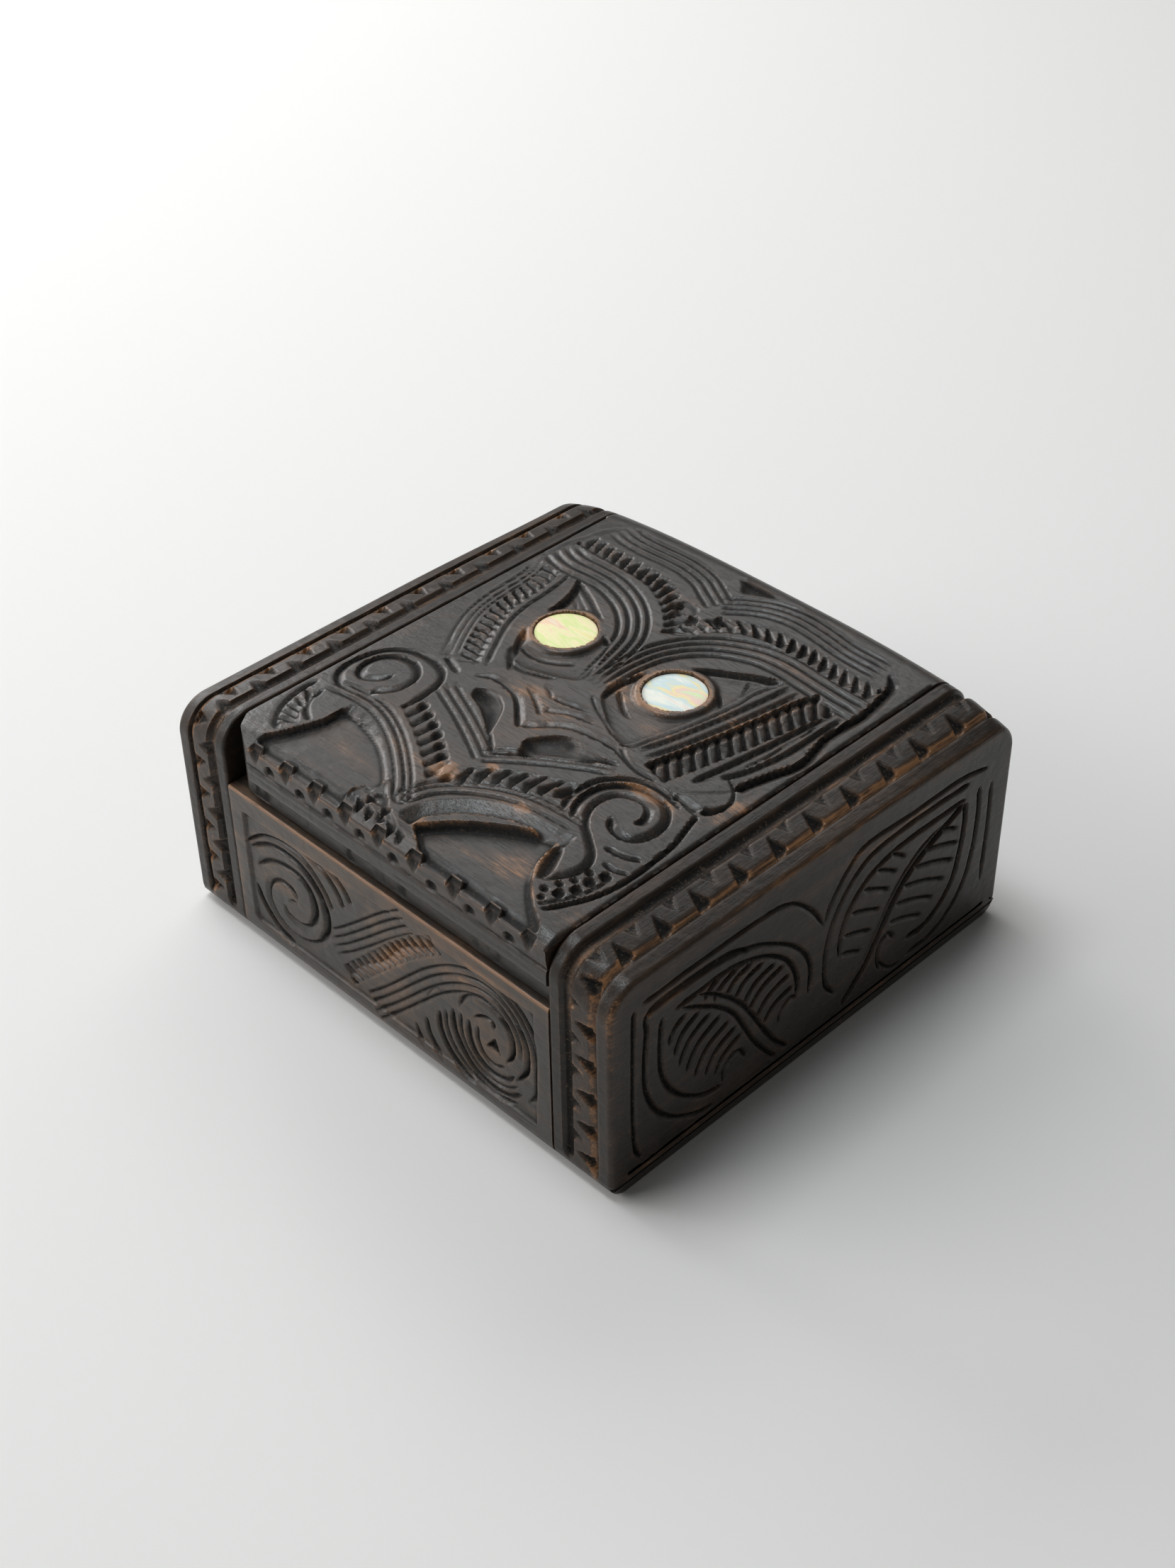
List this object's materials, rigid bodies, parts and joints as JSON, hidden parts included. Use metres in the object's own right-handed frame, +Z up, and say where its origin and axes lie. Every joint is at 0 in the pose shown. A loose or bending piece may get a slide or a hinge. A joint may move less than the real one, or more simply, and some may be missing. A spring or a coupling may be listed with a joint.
{
  "type": "carved wooden box",
  "caption": "Low rectangular trinket box of carved dark wood with thick rounded end cheeks and a lid that swings back on hidden pins.",
  "frame": {"origin": "middle of the underside, at the bottom of the bounding box", "axes": "+X to the right along the front, -Y out of the front, +Z up"},
  "size_m": [0.15, 0.14, 0.068],
  "materials": {
    "stained_wood": "black-stained, satin, worn brown at the edges",
    "pale_wood": "bare, matt",
    "shell": "polished iridescent shell",
    "steel": "plain drawn wire"
  },
  "bodies": {
    "box": {"base_board": "stained_wood", "front_board": "stained_wood", "back_board": "stained_wood", "left_cheek": "stained_wood", "right_cheek": "stained_wood", "left_hinge_pin": "steel", "right_hinge_pin": "steel", "front_left_lower_dowel": "pale_wood", "front_left_upper_dowel": "pale_wood", "front_right_lower_dowel": "pale_wood", "front_right_upper_dowel": "pale_wood", "back_left_lower_dowel": "pale_wood", "back_left_upper_dowel": "pale_wood", "back_right_lower_dowel": "pale_wood", "back_right_upper_dowel": "pale_wood", "left_cheek_front_base_nail": "steel", "left_cheek_back_base_nail": "steel", "right_cheek_front_base_nail": "steel", "right_cheek_back_base_nail": "steel", "front_left_base_nail": "steel", "front_right_base_nail": "steel", "back_left_base_nail": "steel", "back_right_base_nail": "steel"},
    "lid": {"lid": "stained_wood", "left_eye": "shell", "right_eye": "shell"}
  },
  "joints": [
    {"name": "lid_hinge", "type": "hinge", "parent": "box", "child": "lid", "pos_m": [0, 0.061, 0.05645], "axis": [-1, 0, 0], "range_deg": [0, 105]}
  ]
}
